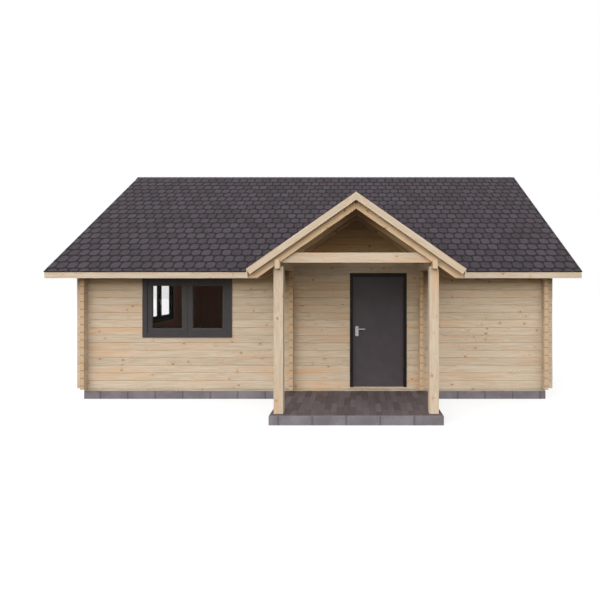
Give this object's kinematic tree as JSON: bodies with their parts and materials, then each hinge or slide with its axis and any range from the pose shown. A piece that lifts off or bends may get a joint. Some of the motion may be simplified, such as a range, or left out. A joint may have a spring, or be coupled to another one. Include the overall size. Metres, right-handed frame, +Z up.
{
  "type": "log house",
  "caption": "Log-walled garden house with a shingled gable roof, a gabled porch on posts, a hinged door with a lever handle and paired-sash windows.",
  "frame": {"origin": "centre of the foundation slab's underside", "axes": "+X to the right along the front wall, -Y out of the front, +Z up"},
  "size_m": [9.216, 7.992, 4.6603],
  "materials": {
    "concrete": "rough cast concrete",
    "bearer_timber": "weathered sawn timber",
    "floor_timber": "planed boards",
    "log_timber": "planed pine logs",
    "planed_timber": "planed pine",
    "bitumen_shingle": "mineral faced bitumen",
    "door_paint": "satin anthracite paint",
    "window_paint": "satin anthracite paint",
    "handle_steel": "satin steel",
    "window_glazing": "clear double glazing"
  },
  "bodies": {
    "house": {"foundation_slab": "concrete", "porch_slab": "concrete", "base_bearers": "bearer_timber", "floor_boards": "floor_timber", "front_wall_left": "log_timber", "front_wall_right": "log_timber", "front_gable": "log_timber", "back_wall": "log_timber", "left_wall": "log_timber", "right_wall": "log_timber", "cross_log_ends": "log_timber", "porch_plates": "log_timber", "porch_post_left": "planed_timber", "porch_post_right": "planed_timber", "porch_tie_beam": "planed_timber", "ridge_beam": "planed_timber", "rafters_front": "planed_timber", "rafters_back": "planed_timber", "roof_boards_front": "planed_timber", "roof_boards_back": "planed_timber", "fascia_front": "planed_timber", "fascia_back": "planed_timber", "barge_boards_left": "planed_timber", "barge_boards_right": "planed_timber", "porch_rafters": "planed_timber", "porch_boards": "planed_timber", "porch_barge_boards": "planed_timber", "porch_fascias": "planed_timber", "door_threshold": "planed_timber", "shingles_front": "bitumen_shingle", "shingles_back": "bitumen_shingle", "ridge_cap": "bitumen_shingle", "porch_shingles": "bitumen_shingle", "porch_ridge_cap": "bitumen_shingle", "door_frame": "door_paint", "front_window_frame": "window_paint", "back_window_frame": "window_paint", "left_window_frame": "window_paint", "right_window_frame": "window_paint", "window_sashes": "window_paint", "door_hinge_pins": "handle_steel", "window_glass": "window_glazing"},
    "door": {"door_leaf": "door_paint", "door_hinge_knuckles": "handle_steel", "door_handle_plates": "handle_steel"},
    "lever": {"door_lever": "handle_steel"}
  },
  "joints": [
    {"name": "door_hinge", "type": "hinge", "parent": "house", "child": "door", "pos_m": [1.5955, -2.971, 1.2055], "axis": [0, 0, -1], "range_deg": [0, 100]},
    {"name": "handle_turn", "type": "hinge", "parent": "door", "child": "lever", "pos_m": [0.752, -3.0025, 1.248], "axis": [0, 1, 0], "range_deg": [0, 45], "stiffness_Nm_per_rad": 1.5, "springref_deg": -40.11}
  ]
}
